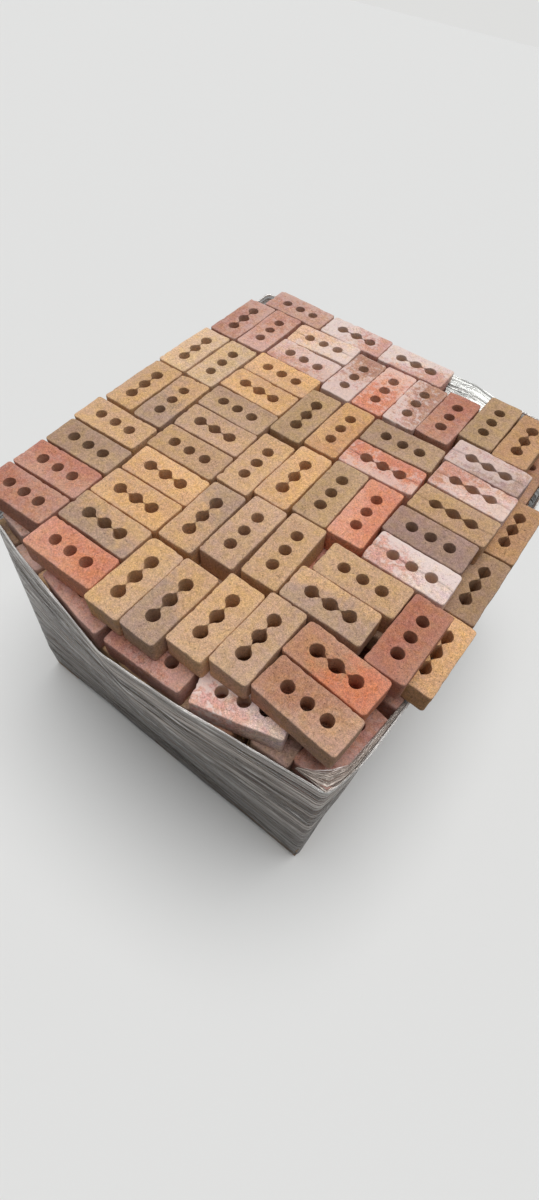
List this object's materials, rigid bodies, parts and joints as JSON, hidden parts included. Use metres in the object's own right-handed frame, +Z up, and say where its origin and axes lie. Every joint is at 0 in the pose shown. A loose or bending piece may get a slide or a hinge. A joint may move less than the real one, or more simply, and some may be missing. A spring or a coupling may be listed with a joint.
{
  "type": "pallet of bricks",
  "caption": "Timber pallet loaded with courses of cored clay facing bricks in mixed colours, held by stretch wrap with an open top.",
  "frame": {"origin": "centre of the pallet's underside, on the floor that it stands on", "axes": "+Z up, +Y along the pallet's longer side, +X along its shorter side"},
  "size_m": [1.2566, 1.4035, 0.98],
  "materials": {
    "brick": "matt fired clay, mottled",
    "brick_core": "matt fired clay",
    "stretch_wrap": "grey translucent stretch film in many layers",
    "pallet_timber": "rough sawn softwood"
  },
  "bodies": {
    "root": {"top_course_bricks": "brick", "top_course_corner_bricks": "brick", "second_course_edge_bricks": "brick", "second_course_core": "brick_core", "stretch_wrap": "stretch_wrap", "pallet_base_boards": "pallet_timber", "pallet_bearers": "pallet_timber", "pallet_deck_boards": "pallet_timber", "lower_course_1": "brick_core", "lower_course_2": "brick_core", "lower_course_3": "brick_core", "lower_course_4": "brick_core", "lower_course_5": "brick_core", "lower_course_6": "brick_core", "lower_course_7": "brick_core", "lower_course_8": "brick_core", "lower_course_9": "brick_core"}
  },
  "joints": []
}
